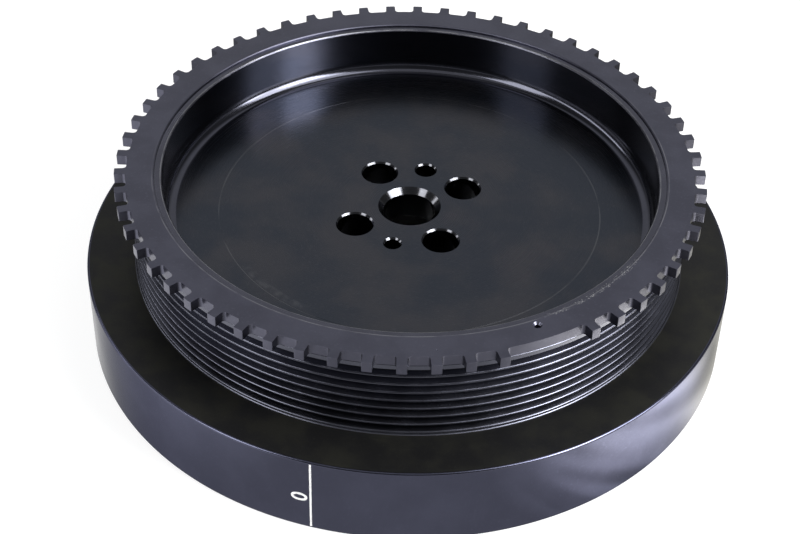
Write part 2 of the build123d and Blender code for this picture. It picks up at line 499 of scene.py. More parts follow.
@dataclass(frozen=True)
class OxideSteel:
    """Turned steel under a thin black oxide finish."""

    name: str
    colour: Colour
    roughness: float
    roughness_spread: float = 0.08
    metallic: float = 1.0
    mottle: float = 0.18
    mottle_size: float = 14.0
    warm_tint: Colour = (1.0, 1.0, 1.0)
    mark_pitch: float = 0.35
    mark_depth: float = 0.003
    mark_roughness: float = 0.10
    cloud_span: tuple[float, float] = (0.36, 0.66)
    speck_size: float = 0.9
    speck_span: tuple[float, float] = (0.55, 0.75)
    speck_share: float = 0.25
    speck_light: float = 1.5
    stretch: float = 0.0
    stretch_turn: float = 0.25
    edge_tint: float = 1.0
    wear_and_highlights: tuple[WearAndHighlight, ...] = ()

    def material(self) -> bpy.types.Material:
        """Builds the shader."""
        board = MaterialBoard(self.name)
        shader = board.shader
        clouds = board.noise(self.mottle_size, detail=4.0)
        specks = board.noise(self.speck_size)
        marks = board.noise(self.mark_pitch, place=board.turned_place())
        worn = board.ramp(clouds, *self.cloud_span)
        dark = tuple(part * (1 - self.mottle) for part in self.colour)
        light = tuple(part * (1 + self.mottle) * tint for part, tint in zip(self.colour, self.warm_tint))
        clouded = board.blend(worn, dark, light)
        speckled = board.maths("MULTIPLY", board.ramp(specks, *self.speck_span), self.speck_share)
        colour = board.blend(speckled, clouded, tuple(self.speck_light * part for part in light))
        # Worn and chipped patches, and the painted highlight on the trigger ring's bore edge, blend the colour towards
        # bare steel.
        for patch in self.wear_and_highlights:
            colour = board.blend(patch.mask(board), colour, BARE_STEEL)
        board.feed(shader.inputs["Base Color"], colour)
        spread = self.roughness_spread
        wander = board.maths("MULTIPLY_ADD", clouds, 2 * spread, self.roughness - spread)
        fine = board.maths("MULTIPLY_ADD", marks, self.mark_roughness, wander)
        board.feed(shader.inputs["Roughness"], board.maths("SUBTRACT", fine, self.mark_roughness / 2, clamp=True))
        shader.inputs["Metallic"].default_value = self.metallic
        shader.inputs["Specular Tint"].default_value = (self.edge_tint, self.edge_tint, self.edge_tint, 1.0)
        if self.stretch:
            shader.inputs["Anisotropic"].default_value = self.stretch
            shader.inputs["Anisotropic Rotation"].default_value = self.stretch_turn
            tangent = board.add("ShaderNodeTangent", direction_type="RADIAL", axis="Z")
            board.feed(shader.inputs["Tangent"], tangent.outputs[0])
        board.bump(marks, self.mark_depth)
        return board.material


@dataclass(frozen=True)
class GrainyFinish:
    """Bare steel or brushed paint: one colour that its own grain dulls in places."""

    name: str
    colour: Colour
    roughness: float
    dull: float
    dull_below: float
    clear_above: float
    metallic: float = 0.0
    grain_size: float = 0.4
    grain_depth: float = 0.02
    grain_roughness: float = 0.2

    def material(self) -> bpy.types.Material:
        """Builds the shader."""
        board = MaterialBoard(self.name)
        grain = board.noise(self.grain_size, detail=3.0)
        dull = tuple(self.dull * part for part in self.colour)
        clear = board.ramp(grain, self.dull_below, self.clear_above)
        board.feed(board.shader.inputs["Base Color"], board.blend(clear, dull, self.colour))
        smoothest = self.roughness - self.grain_roughness / 2
        rough = board.maths("MULTIPLY_ADD", grain, self.grain_roughness, smoothest)
        board.feed(board.shader.inputs["Roughness"], rough)
        board.shader.inputs["Metallic"].default_value = self.metallic
        board.bump(grain, self.grain_depth)
        return board.material


@dataclass(frozen=True)
class PlainPart:
    """Finish of a small or inner part: one colour with grain, clouds and a little relief."""

    name: str
    colour: Colour
    roughness: float
    metallic: float = 0.0
    grain_size: float = 0.6
    grain_depth: float = 0.01
    grain_roughness: float = 0.16
    cloud_size: float = 9.0
    cloud_span: tuple[float, float] = (0.35, 0.65)
    dark_share: float = 0.78
    light_share: float = 1.15
    turned: bool = False

    def material(self) -> bpy.types.Material:
        """Builds the shader."""
        board = MaterialBoard(self.name)
        place = board.turned_place() if self.turned else None
        grain = board.noise(self.grain_size, detail=3.0, place=place)
        clouds = board.noise(self.cloud_size, detail=3.0)
        dark = tuple(self.dark_share * part for part in self.colour)
        light = tuple(min(1.0, self.light_share * part) for part in self.colour)
        board.feed(board.shader.inputs["Base Color"], board.blend(board.ramp(clouds, *self.cloud_span), dark, light))
        smoothest = self.roughness - self.grain_roughness / 2
        rough = board.maths("MULTIPLY_ADD", grain, self.grain_roughness, smoothest, clamp=True)
        board.feed(board.shader.inputs["Roughness"], rough)
        board.shader.inputs["Metallic"].default_value = self.metallic
        board.bump(grain, self.grain_depth)
        return board.material


WALL_OXIDE = OxideSteel(
    "wall_oxide",
    (0.084, 0.087, 0.126),
    0.21,
    mottle=0.06,
    mottle_size=22.0,
    mark_pitch=0.5,
    mark_depth=0.0006,
    stretch=0.35,
    edge_tint=0.45,
)
SHOULDER_OXIDE = OxideSteel(
    "shoulder_oxide",
    (0.033, 0.033, 0.034),
    0.44,
    metallic=0.88,
    mottle=0.12,
    mottle_size=12.0,
    warm_tint=(1.04, 1.04, 0.88),
    mark_pitch=0.8,
    mark_depth=0.003,
    edge_tint=0.5,
)
GROOVE_OXIDE = OxideSteel("groove_oxide", (0.098, 0.101, 0.127), 0.25, mottle=0.08, mark_depth=0.001, mark_pitch=0.6)
BOWL_OXIDE = OxideSteel(
    "bowl_oxide", (0.078, 0.080, 0.100), 0.14, roughness_spread=0.02, mottle=0.05, mark_depth=0.0003
)
HOLE_OXIDE = OxideSteel(
    "hole_oxide",
    (0.110, 0.112, 0.124),
    0.12,
    roughness_spread=0.02,
    mottle=0.08,
    mark_pitch=0.8,
    mark_depth=0.0005,
)
FLOOR_OXIDE = OxideSteel(
    "floor_oxide",
    (0.052, 0.059, 0.075),
    0.27,
    roughness_spread=0.03,
    mottle=0.10,
    mottle_size=26.0,
    warm_tint=(1.14, 1.02, 0.92),
    mark_depth=0.0008,
    wear_and_highlights=(
        # A faint pale line, broken by noise, along the turning step.
        WearAndHighlight(68.5, reach=0.30, grain=18.0, low=0.30, high=0.55, strength=0.10),
        WearAndHighlight(66.6, reach=1.9, grain=3.2, low=0.35, high=0.80, strength=0.07, azimuth=240.0, spread=16.0),
    ),
)
RING_OXIDE = OxideSteel(
    "ring_oxide",
    (0.094, 0.095, 0.125),
    0.32,
    mottle=0.08,
    mark_pitch=0.9,
    mark_depth=0.002,
    wear_and_highlights=(
        WearAndHighlight(91.2, reach=0.8, grain=0.45, low=0.59, high=0.65, strength=0.95, azimuth=-32.0, spread=16.0),
        # Painted highlight along a worn bore edge: a pale broken line kept to the front and right, where the edge
        # itself catches no light.
        WearAndHighlight(90.95, reach=0.22, grain=9.0, low=0.30, high=0.60, strength=0.30, azimuth=-60.0, spread=120.0),
    ),
)
RIM_OXIDE = OxideSteel(
    "rim_oxide",
    (0.094, 0.095, 0.120),
    0.26,
    mottle=0.08,
    mark_depth=0.001,
    wear_and_highlights=(
        WearAndHighlight(88.05, reach=0.25, grain=8.0, low=0.25, high=0.55, strength=0.35),
        WearAndHighlight(90.0, reach=0.7, grain=0.45, low=0.59, high=0.65, strength=0.9, azimuth=-32.0, spread=16.0),
    ),
)
BRIGHT_CHIP = GrainyFinish(
    "bright_chip",
    BARE_STEEL,
    0.34,
    dull=0.6,
    dull_below=0.4,
    clear_above=0.6,
    metallic=1.0,
    grain_size=0.25,
    grain_depth=0.01,
)
MARKING_PAINT = GrainyFinish("marking_paint", (0.80, 0.80, 0.79), 0.55, dull=0.62, dull_below=0.28, clear_above=0.42)


# --- The turned housing ---


@dataclass
class Corner:
    """One corner of a turned section, with how it is broken."""

    radius: float
    height: float
    size: float = 0.0
    segments: int = 1

    @property
    def point(self) -> Vector:
        """The corner in the XZ plane, in millimetres."""
        return Vector((self.radius, 0.0, self.height))


@dataclass
class TurnedHousing:
    """Hub web, bowl, pulley neck and damper chamber, turned from one blank."""

    foot_edge: float = 0.8
    outer_wall: float = 4.5
    roof_thickness: float = 4.5
    inner_wall: float = 6.0
    recess_radius: float = 64.0
    recess_fillet: float = 4.0
    cover_ledge: float = 1.6
    cover_seat: float = 5.1
    shoulder_height: float = 30.7
    neck_radius: float = 98.9
    neck_fillet: float = 0.7
    groove_count: int = 8
    groove_pitch: float = 3.56
    groove_angle: float = 40.0
    rib_tip: float = 0.55
    groove_root: float = 0.80
    rib_round: float = 0.385
    root_round: float = 0.22
    lower_land: float = 0.74
    upper_land_proud: float = 0.6
    upper_land_chamfer: float = 0.6
    pulley_wall: float = 11.3
    spigot_wall: float = 2.7
    rim_recess: float = 0.8
    bowl_depth: float = 19.3
    bowl_fillet: float = 4.0
    bowl_edge: float = 0.5
    web: float = 12.8
    pilot_radius: float = 9.3
    pilot_chamfer: float = 2.0
    rim_chamfer: float = 1.0
    bolt_circle_radius: float = 22.3
    bolt_count: int = 4
    bolt_hole_radius: float = 6.25
    dowel_hole_radius: float = 2.8
    locator_hole_radius: float = 3.6
    hole_chamfer: float = 0.55
    hole_lip: float = 0.02
    hole_steps: int = 64
    tool_step_radius: float = 68.5
    tool_step_width: float = 0.35
    tool_step_depth: float = 0.05
    sharp_edge: float = 0.12
    steps: int = 360
    top: float = field(init=False)
    seat: float = field(init=False)
    outer_radius: float = field(init=False)

    def __post_init__(self) -> None:
        """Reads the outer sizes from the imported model."""
        low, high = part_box("housing")
        self.outer_radius = round((high.x - low.x) / 2 / MM, 1)
        ring_low, ring_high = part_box("tone_ring")
        self.seat = ring_low.z / MM
        self.top = ring_high.z / MM

    @property
    def floor_height(self) -> float:
        """Height of the bowl's floor, the hub's mounting face."""
        return self.top - self.bowl_depth

    @property
    def bowl_radius(self) -> float:
        """Radius of the bowl's wall."""
        return self.neck_radius - self.pulley_wall

    @property
    def spigot_radius(self) -> float:
        """Radius of the spigot that carries the trigger ring."""
        return self.bowl_radius + self.spigot_wall

    @property
    def land_radius(self) -> float:
        """Radius in the middle of the flat rim between the bowl's chamfer and the trigger ring."""
        return self.bowl_radius + (self.bowl_edge + self.spigot_wall) / 2

    def groove_corners(self) -> list[Corner]:
        """The V grooves' corners, from the lowest groove up."""
        slope = math.tan(math.radians(self.groove_angle / 2))
        depth = (self.groove_pitch - self.rib_tip - self.groove_root) / 2 / slope
        root_radius = self.neck_radius - depth
        corners = []
        for index in range(self.groove_count):
            middle = self.shoulder_height + self.lower_land + (index + 0.5) * self.groove_pitch
            mouth = (self.groove_pitch - self.rib_tip) / 2
            last = index == self.groove_count - 1
            top_radius = self.neck_radius + (self.upper_land_proud if last else 0.0)
            top_mouth = mouth + (self.upper_land_proud * slope if last else 0.0)
            corners += [
                Corner(self.neck_radius, middle - mouth, self.rib_round, 3),
                Corner(root_radius, middle - self.groove_root / 2, self.root_round, 2),
                Corner(root_radius, middle + self.groove_root / 2, self.root_round, 2),
                Corner(top_radius, middle + top_mouth, self.rib_round, 3),
            ]
        return corners

    def section(self) -> list[Corner]:
        """The housing's section, anticlockwise from the pilot bore's front edge."""
        web_front = self.floor_height - self.web
        chamber_in = self.recess_radius + self.inner_wall
        chamber_out = self.outer_radius - self.outer_wall
        roof = self.shoulder_height - self.roof_thickness
        step_in = self.tool_step_radius - self.tool_step_width / 2
        step_out = self.tool_step_radius + self.tool_step_width / 2
        step_floor = self.floor_height - self.tool_step_depth
        upper_land_radius = self.neck_radius + self.upper_land_proud
        rim = self.top - self.rim_recess
        return [
            Corner(self.pilot_radius, web_front, self.rim_chamfer),
            Corner(self.recess_radius, web_front, self.recess_fillet, 6),
            Corner(self.recess_radius, 0, self.rim_chamfer),
            Corner(chamber_in - self.cover_ledge, 0, self.sharp_edge),
            Corner(chamber_in - self.cover_ledge, self.cover_seat),
            Corner(chamber_in, self.cover_seat),
            Corner(chamber_in, roof),
            Corner(chamber_out, roof),
            Corner(chamber_out, self.cover_seat),
            Corner(chamber_out + self.cover_ledge, self.cover_seat),
            Corner(chamber_out + self.cover_ledge, 0, self.sharp_edge),
            Corner(self.outer_radius, 0, self.foot_edge, 3),
            Corner(self.outer_radius, self.shoulder_height, self.foot_edge, 3),
            Corner(self.neck_radius, self.shoulder_height, self.neck_fillet, 4),
            *self.groove_corners(),
            Corner(upper_land_radius, self.seat, self.upper_land_chamfer),
            Corner(self.spigot_radius, self.seat),
            Corner(self.spigot_radius, rim, self.sharp_edge, 2),
            Corner(self.bowl_radius + self.bowl_edge, rim, self.sharp_edge, 2),
            Corner(self.bowl_radius, rim - self.bowl_edge, self.sharp_edge, 2),
            Corner(self.bowl_radius, self.floor_height, self.bowl_fillet, 12),
            Corner(step_out, self.floor_height),
            Corner(step_out, step_floor),
            Corner(step_in, step_floor),
            Corner(step_in, self.floor_height),
            Corner(self.pilot_radius, self.floor_height, self.pilot_chamfer),
        ]

    def hole_cutter(self, radius: float, azimuth: float) -> bpy.types.Object:
        """Models the tool that cuts one chamfered hole through the web.

        Args:
            radius: the hole's radius.
            azimuth: its place on the bolt circle, in degrees.

        Returns:
            The cutter, a closed spool.
        """
        past = 1.0
        centre = polar(self.bolt_circle_radius, azimuth)
        high = self.floor_height
        low = high - self.web
        flare = radius + self.hole_chamfer + past
        outline = [
            (0.0, low - past),
            (flare, low - past),
            (radius, low + self.hole_chamfer),
            (radius, high - self.hole_chamfer),
            (flare, high + past),
            (0.0, high + past),
        ]
        points = [centre + Vector((reach, 0.0, height)) for reach, height in outline]
        cutter = draw_wire("hole_cutter", points)
        spin_wire(self.hole_steps, centre)
        return cutter

    def build(self) -> bpy.types.Object:
        """Turns the section, drills the holes and gives each zone its finish.

        Returns:
            The housing's mesh.
        """
        section = self.section()
        housing = draw_wire("turned_housing", [corner.point for corner in section])
        for size, segments in sorted({(corner.size, corner.segments) for corner in section if corner.size}):
            alike = [corner.point for corner in section if (corner.size, corner.segments) == (size, segments)]
            break_corners(alike, size, segments)
        bpy.ops.mesh.select_all(action="SELECT")
        spin_wire(self.steps)
        bolt_pitch = 360.0 / self.bolt_count
        holes = [(self.bolt_hole_radius, (index + 0.5) * bolt_pitch) for index in range(self.bolt_count)]
        holes += [(self.dowel_hole_radius, -90.0), (self.locator_hole_radius, 90.0)]
        cutters = [self.hole_cutter(radius, azimuth) for radius, azimuth in holes]
        cut_away(housing, join_pieces(cutters, "hole_cutters"))
        self.dress(housing)
        smooth(housing)
        return housing

    def dress(self, housing: bpy.types.Object) -> None:
        """Gives each zone its finish; a later zone takes over from an earlier one where they overlap."""
        paint(housing, WALL_OXIDE.material())
        shoulder_edge = self.outer_radius - self.foot_edge
        shoulder_top = self.shoulder_height + self.neck_fillet
        groove_start = self.shoulder_height + 0.1
        rim_start = self.seat + 1
        rim_inside = self.bowl_radius + 0.01
        floor_edge = self.bowl_radius - self.bowl_fillet
        web_front = self.floor_height - self.web
        hole_low, hole_high = web_front + self.hole_lip, self.floor_height - self.hole_lip
        zones: list[tuple[OxideSteel, Callable[[Vector], bool]]] = [
            (SHOULDER_OXIDE, lambda p: p.xy.length < shoulder_edge and p.z < shoulder_top),
            (GROOVE_OXIDE, lambda p: p.xy.length > self.land_radius and p.z > groove_start),
            (BOWL_OXIDE, lambda p: floor_edge < p.xy.length < self.land_radius and p.z > self.floor_height),
            (RIM_OXIDE, lambda p: p.xy.length > rim_inside and p.z > rim_start),
            (FLOOR_OXIDE, lambda p: p.xy.length < floor_edge and p.z > web_front - 1),
            (HOLE_OXIDE, lambda p: p.xy.length < self.bowl_radius / 2 and hole_low < p.z < hole_high),
        ]
        for finish, zone in zones:
            dress_zone(housing, finish.material(), zone)


# --- The trigger ring ---


@dataclass
class Nick:
    """A knock in the trigger ring's top face."""

    radius: float
    azimuth: float
    length: float
    width: float
    turn: float


@dataclass
class TriggerRing:
    """Toothed ring pressed over the bowl's rim, with two teeth left out as the reference gap."""

    inner_radius: float
    rim_width: float = 9.7
    tooth_height: float = 4.1
    tooth_width: float = 3.5
    root_fillet: float = 1.2
    tip_round: float = 0.25
    edge_break: float = 0.14
    bore_chamfer: float = 0.35
    pitches: int = 60
    missing: int = 2
    gap_azimuth: float = -49.0
    index_hole_radius: float = 0.9
    index_sink_radius: float = 1.6
    index_hole_depth: float = 2.5
    index_inset: float = 3.1
    arc_step: float = 1.0
    nicks: tuple[Nick, ...] = (
        Nick(97.4, -69.7, 1.9, 0.7, 20.0),
        Nick(102.6, -85.0, 1.2, 0.6, 70.0),
        Nick(90.9, -38.0, 1.3, 0.35, 55.0),
        Nick(91.1, -46.5, 0.9, 0.3, 30.0),
    )
    bottom: float = field(init=False)
    top: float = field(init=False)

    def __post_init__(self) -> None:
        """Reads the ring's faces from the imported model."""
        low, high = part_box("tone_ring")
        self.bottom = low.z / MM
        self.top = high.z / MM

    @property
    def root_radius(self) -> float:
        """Radius at the tooth roots."""
        return self.inner_radius + self.rim_width

    @property
    def tip_radius(self) -> float:
        """Radius at the tooth tips."""
        return self.root_radius + self.tooth_height

    @property
    def pitch_angle(self) -> float:
        """Angle of one tooth pitch, in degrees."""
        return 360.0 / self.pitches

    def arc(self, radius: float, start: float, end: float) -> list[Vector]:
        """Points along an arc, with both ends."""
        count = max(1, round(abs(end - start) / self.arc_step))
        return [polar(radius, start + (end - start) * index / count, self.bottom) for index in range(count + 1)]

    def sector(self, name: str, toothed: bool) -> bpy.types.Object:
        """Models one pitch of the ring about +X.

        Args:
            name: the piece's name.
            toothed: whether the sector carries a tooth.

        Returns:
            The sector, open at its two radial sides.
        """
        half = self.pitch_angle / 2
        outline = self.arc(self.inner_radius, half, -half)
        if toothed:
            foot = math.degrees(math.asin(self.tooth_width / 2 / self.root_radius))
            tip = math.degrees(math.asin(self.tooth_width / 2 / self.tip_radius))
            outline += self.arc(self.root_radius, -half, -foot)
            outline += self.arc(self.tip_radius, -tip, tip)
            outline += self.arc(self.root_radius, foot, half)
            feet = [polar(self.root_radius, side * foot, self.bottom) for side in (-1, 1)]
            tips = [polar(self.tip_radius, side * tip, self.bottom) for side in (-1, 1)]
        else:
            outline += self.arc(self.root_radius, -half, half)
        piece = draw_wire(name, outline)
        if toothed:
            break_corners(feet, self.root_fillet, 5)
            break_corners(tips, self.tip_round, 2)
        bpy.ops.mesh.select_all(action="SELECT")
        bpy.ops.mesh.edge_face_add()
        bpy.ops.mesh.extrude_region_move(TRANSFORM_OT_translate={"value": (0, 0, (self.top - self.bottom) * MM)})
        bpy.ops.mesh.select_all(action="SELECT")
        bpy.ops.mesh.normals_make_consistent(inside=False)
        bore = self.inner_radius * math.cos(math.radians(self.arc_step))
        pick_parts(
            lambda p: bore < p.xy.length < self.inner_radius + 0.01 and abs(p.z - self.top) < 1e-3,
            "EDGE",
        )
        bpy.ops.mesh.bevel(offset=self.bore_chamfer * MM, segments=1, affect="EDGES", clamp_overlap=False)
        side = math.tan(math.radians(half))
        pick_parts(
            lambda p: abs(abs(p.y) - side * p.x) > 1e-2 and min(abs(p.z - self.top), abs(p.z - self.bottom)) < 1e-3,
            "EDGE",
        )
        bpy.ops.mesh.bevel(offset=self.edge_break * MM, segments=2, profile=0.5, affect="EDGES", clamp_overlap=False)
        pick_parts(lambda p: abs(abs(p.y) - side * p.x) < 1e-3, "FACE")
        bpy.ops.mesh.delete(type="FACE")
        bpy.ops.object.mode_set(mode="OBJECT")
        return piece

    def index_cutter(self) -> bpy.types.Object:
        """Models the tool that cuts the small countersunk index hole in the gap."""
        past = 0.5
        centre = polar(self.inner_radius + self.index_inset, self.gap_azimuth)
        cone = self.index_sink_radius - self.index_hole_radius
        outline = [
            (0.0, self.top - self.index_hole_depth),
            (self.index_hole_radius, self.top - self.index_hole_depth),
            (self.index_hole_radius, self.top - cone),
            (self.index_sink_radius + past, self.top + past),
            (0.0, self.top + past),
        ]
        cutter = draw_wire("index_cutter", [centre + Vector((reach, 0.0, height)) for reach, height in outline])
        spin_wire(32, centre)
        return cutter

    def nick_cutter(self, nick: Nick) -> bpy.types.Object:
        """Models the pebble shape that knocks one nick into the top face."""
        deselect_all()
        place = polar(nick.radius, nick.azimuth, self.top + 0.25 * nick.width)
        bpy.ops.mesh.primitive_ico_sphere_add(subdivisions=2, radius=MM / 2, location=(0, 0, 0))
        pebble = bpy.context.object
        bpy.ops.object.mode_set(mode="EDIT")
        bpy.ops.mesh.select_all(action="SELECT")
        bpy.ops.transform.resize(value=(nick.length, nick.width, nick.width))
        bpy.ops.transform.vertex_random(offset=0.08 * nick.width * MM, seed=round(nick.radius))
        bpy.ops.object.mode_set(mode="OBJECT")
        turn = Matrix.Rotation(math.radians(nick.azimuth + nick.turn), 4, "Z")
        pebble.data.transform(Matrix.Translation(place * MM) @ turn)
        return pebble

    def build(self) -> bpy.types.Object:
        """Copies the sectors round the ring, joins them and knocks the nicks in.

        Returns:
            The ring's mesh.
        """
        tooth = self.sector("tooth_sector", toothed=True)
        plain = self.sector("gap_sector", toothed=False)
        first = self.gap_azimuth - (self.missing - 1) / 2 * self.pitch_angle
        sectors = []
        for index in range(self.pitches):
            source = plain if index < self.missing else tooth
            copy = source.copy()
            copy.data = source.data.copy()
            bpy.context.collection.objects.link(copy)
            copy.data.transform(Matrix.Rotation(math.radians(first + index * self.pitch_angle), 4, "Z"))
            sectors.append(copy)
        for source in (tooth, plain):
            bpy.data.objects.remove(source)
        ring = join_pieces(sectors, "trigger_ring")
        bpy.ops.object.mode_set(mode="EDIT")
        close_surface()
        paint(ring, RING_OXIDE.material())
        chip = BRIGHT_CHIP.material()
        for cutter in (self.index_cutter(), *(self.nick_cutter(nick) for nick in self.nicks)):
            paint(cutter, chip)
            cut_away(ring, cutter)
        smooth(ring)
        return ring


# --- Marks on the wall, welds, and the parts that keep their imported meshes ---


@dataclass
class TimingMarks:
    """White timing line down the outer wall, with a plain zero beside it."""

    wall_radius: float
    azimuth: float = -90.0
    line_width: float = 0.7
    line_bottom: float = 1.0
    line_top: float = 30.0
    film: float = 0.05
    numeral: str = "0"
    numeral_size: float = 7.8
    numeral_weight: float = 0.09
    numeral_gap: float = 3.6
    numeral_height: float = 14.1

    def line(self) -> bpy.types.Object:
        """Models the line as a thin film of paint on the wall."""
        deselect_all()
        height = self.line_top - self.line_bottom
        bpy.ops.mesh.primitive_cube_add(size=MM)
        line = bpy.context.object
        line.name = "timing_line"
        bpy.ops.object.mode_set(mode="EDIT")
        bpy.ops.mesh.select_all(action="SELECT")
        bpy.ops.transform.resize(value=(2 * self.film, self.line_width, height))
        bpy.ops.object.mode_set(mode="OBJECT")
        middle = polar(self.wall_radius, self.azimuth, (self.line_top + self.line_bottom) / 2)
        turn = Matrix.Rotation(math.radians(self.azimuth), 4, "Z")
        line.data.transform(Matrix.Translation(middle * MM) @ turn)
        apply_modifier(line, "BEVEL", width=0.4 * self.film * MM, segments=2)
        return line

    def zero(self) -> bpy.types.Object:
        """Models the numeral as a thin raised film that follows the wall, reading upwards."""
        deselect_all()
        bpy.ops.object.text_add()
        text = bpy.context.object
        text.data.body = self.numeral
        text.data.size = self.numeral_size * MM
        text.data.align_x = "CENTER"
        text.data.align_y = "CENTER"
        text.data.extrude = self.film * MM
        text.data.offset = self.numeral_weight * MM
        text.data.resolution_u = 12
        bpy.ops.object.convert(target="MESH")
        zero = bpy.context.object
        zero.name = "timing_zero"
        azimuth = math.radians(self.azimuth) - self.numeral_gap / self.wall_radius
        out = Vector((math.cos(azimuth), math.sin(azimuth), 0.0))
        up = Vector((0.0, 0.0, 1.0))
        across = up.cross(out)
        stand = Matrix((up, -across, out)).transposed().to_4x4()
        place = polar(self.wall_radius, math.degrees(azimuth), self.numeral_height) * MM
        zero.data.transform(Matrix.Translation(place) @ stand)
        return zero

    def build(self) -> list[bpy.types.Object]:
        """Makes both marks and paints them.

        Returns:
            The line and the numeral.
        """
        white = MARKING_PAINT.material()
        marks = [self.line(), self.zero()]
        for mark in marks:
            paint(mark, white)
            smooth(mark)
        return marks


@dataclass
class CoverWelds:
    """Laser weld beads along both edges of the cover plate."""

    bead_radius: float = 0.75
    proud: float = 0.35
    ripple: float = 0.16
    ripple_size: float = 0.9
    steps: int = 720

    def bead(self, name: str, radius: float, face_height: float) -> bpy.types.Object:
        """Models one rippled bead round the shaft's axis.

        Args:
            name: the piece's name.
            radius: radius of the seam that it closes.
            face_height: height of the cover's front face.

        Returns:
            The bead.
        """
        deselect_all()
        bpy.ops.mesh.primitive_torus_add(
            major_segments=self.steps, minor_segments=10, major_radius=radius * MM, minor_radius=self.bead_radius * MM
        )
        bead = bpy.context.object
        bead.name = name
        bpy.ops.object.mode_set(mode="EDIT")
        bpy.ops.mesh.select_all(action="SELECT")
        bpy.ops.transform.resize(value=(1.0, 1.0, (self.proud - self.ripple / 2) / self.bead_radius))
        bpy.ops.transform.translate(value=(0, 0, face_height * MM))
        bpy.ops.object.mode_set(mode="OBJECT")
        texture = bpy.data.textures.new("weld_ripple", type="CLOUDS")
        texture.noise_scale = self.ripple_size * MM
        apply_modifier(
            bead, "DISPLACE", texture=texture, strength=self.ripple * MM, mid_level=0.5, texture_coords="GLOBAL"
        )
        return bead

    def build(self) -> list[bpy.types.Object]:
        """Makes the inner and the outer bead.

        Returns:
            Both beads.
        """
        low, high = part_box("cover_plate")
        outer = (high.x - low.x) / 2 / MM
        inner = outer - COVER_WIDTH
        finish = PlainPart("weld_bead", (0.20, 0.19, 0.18), 0.42, metallic=1.0, grain_size=0.3).material()
        beads = [
            self.bead("cover_weld_inner", inner, low.z / MM),
            self.bead("cover_weld_outer", outer, low.z / MM),
        ]
        for bead in beads:
            paint(bead, finish)
            smooth(bead, 60.0)
        return beads


COVER_WIDTH = 45.1  # radial width of the cover plate

PACKED_FINISHES = {
    "cover_plate": PlainPart("cover_oxide", (0.095, 0.098, 0.105), 0.40, metallic=1.0, turned=True, grain_depth=0.004),
    "fill_plug": PlainPart("plug_oxide", (0.10, 0.10, 0.11), 0.36, metallic=1.0, grain_size=0.4, grain_depth=0.003),
    "plug_seal": PlainPart("seal_copper", (0.62, 0.27, 0.15), 0.42, metallic=1.0, grain_size=0.5),
    "inertia_ring": PlainPart("inertia_iron", (0.32, 0.31, 0.30), 0.38, metallic=1.0, turned=True, grain_depth=0.006),
    "radial_bush": PlainPart("bush_bronze", (0.52, 0.33, 0.13), 0.34, metallic=1.0, turned=True, grain_depth=0.004),
    "side_pad": PlainPart("pad_polymer", (0.09, 0.07, 0.05), 0.55, grain_size=0.3, grain_depth=0.004),
}


def dress_packed_nodes(nodes: dict[str, bpy.types.Object]) -> None:
    """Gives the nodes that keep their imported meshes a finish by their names.

    Args:
        nodes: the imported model's nodes.
    """
    for part, finish in PACKED_FINISHES.items():
        material = finish.material()
        alike = [node for name, node in nodes.items() if part in name]
        for node in alike:
            for slot in node.material_slots:
                slot.material = material
        log.info("%s: %d packed nodes finished", part, len(alike))


# --- Studio ---


@dataclass
class Softbox:
    """A rectangular soft light that faces the part. Its distance, width and height are in metres."""

    name: str
    azimuth: float
    elevation: float
    distance: float
    width: float
    height: float
    radiance: float

    def build(self, aim: Vector) -> None:
        """Adds the light.

        Args:
            aim: the point that it faces, in metres.
        """
        data = bpy.data.lights.new(self.name, "AREA")
        data.shape = "RECTANGLE"
        data.size = self.width
        data.size_y = self.height
        data.energy = self.radiance * math.pi * self.width * self.height
        lamp = bpy.data.objects.new(self.name, data)
        bpy.context.scene.collection.objects.link(lamp)
        outward = toward(self.azimuth, self.elevation)
        lamp.location = aim + outward * self.distance
        lamp.rotation_euler = (-outward).to_track_quat("-Z", "Y").to_euler()


@dataclass
class Camera:
    """The view: where the lens stands, and how it is turned from aiming at the front rim's centre."""

    distance: float = 659.15
    elevation: float = 41.40
    azimuth: float = -75.5
    roll: float = 1.72
    pan_pixels: float = 7.68
    tilt_pixels: float = 36.46
    focal_pixels: float = 1743.45
    frame_pixels: float = 800.0
    sensor: float = 36.0

    def build(self) -> None:
        """Adds the camera and makes it the scene's."""
        place = toward(self.azimuth, self.elevation) * self.distance
        ahead = -place.normalized()
        right = ahead.cross(Vector((0, 0, 1))).normalized()
        up = right.cross(ahead)
        pan = Matrix.Rotation(math.atan2(self.pan_pixels, self.focal_pixels), 3, up)
        ahead, right = pan @ ahead, pan @ right
        tilt = Matrix.Rotation(math.atan2(self.tilt_pixels, self.focal_pixels), 3, right)
        ahead, up = tilt @ ahead, tilt @ up
        lean = Matrix.Rotation(-math.radians(self.roll), 3, ahead)
        right, up = lean @ right, lean @ up
        data = bpy.data.cameras.new("camera")
        data.sensor_width = self.sensor
        data.lens = self.focal_pixels * self.sensor / self.frame_pixels
        data.clip_start = 0.01
        camera = bpy.data.objects.new("camera", data)
        bpy.context.scene.collection.objects.link(camera)
        camera.matrix_world = Matrix.Translation(place * MM) @ Matrix((right, up, -ahead)).transposed().to_4x4()
        bpy.context.scene.camera = camera


@dataclass
class Glow:
    """A broad patch of brightness in the surroundings, full within its inner angle and gone at its outer one."""

    azimuth: float
    elevation: float
    inner: float
    outer: float
    radiance: float


@dataclass(frozen=True)
class Fade:
    """A smooth step over a distance in millimetres, from one value below it to another above it."""

    low: float
    high: float
    start: float = 0.0
    end: float = 1.0

    def over(self, board: NodeBoard, distance: object) -> bpy.types.NodeSocket:
        """The fade's value at a distance that a socket gives in metres."""
        return board.ramp(distance, self.low * MM, self.high * MM, self.start, self.end)


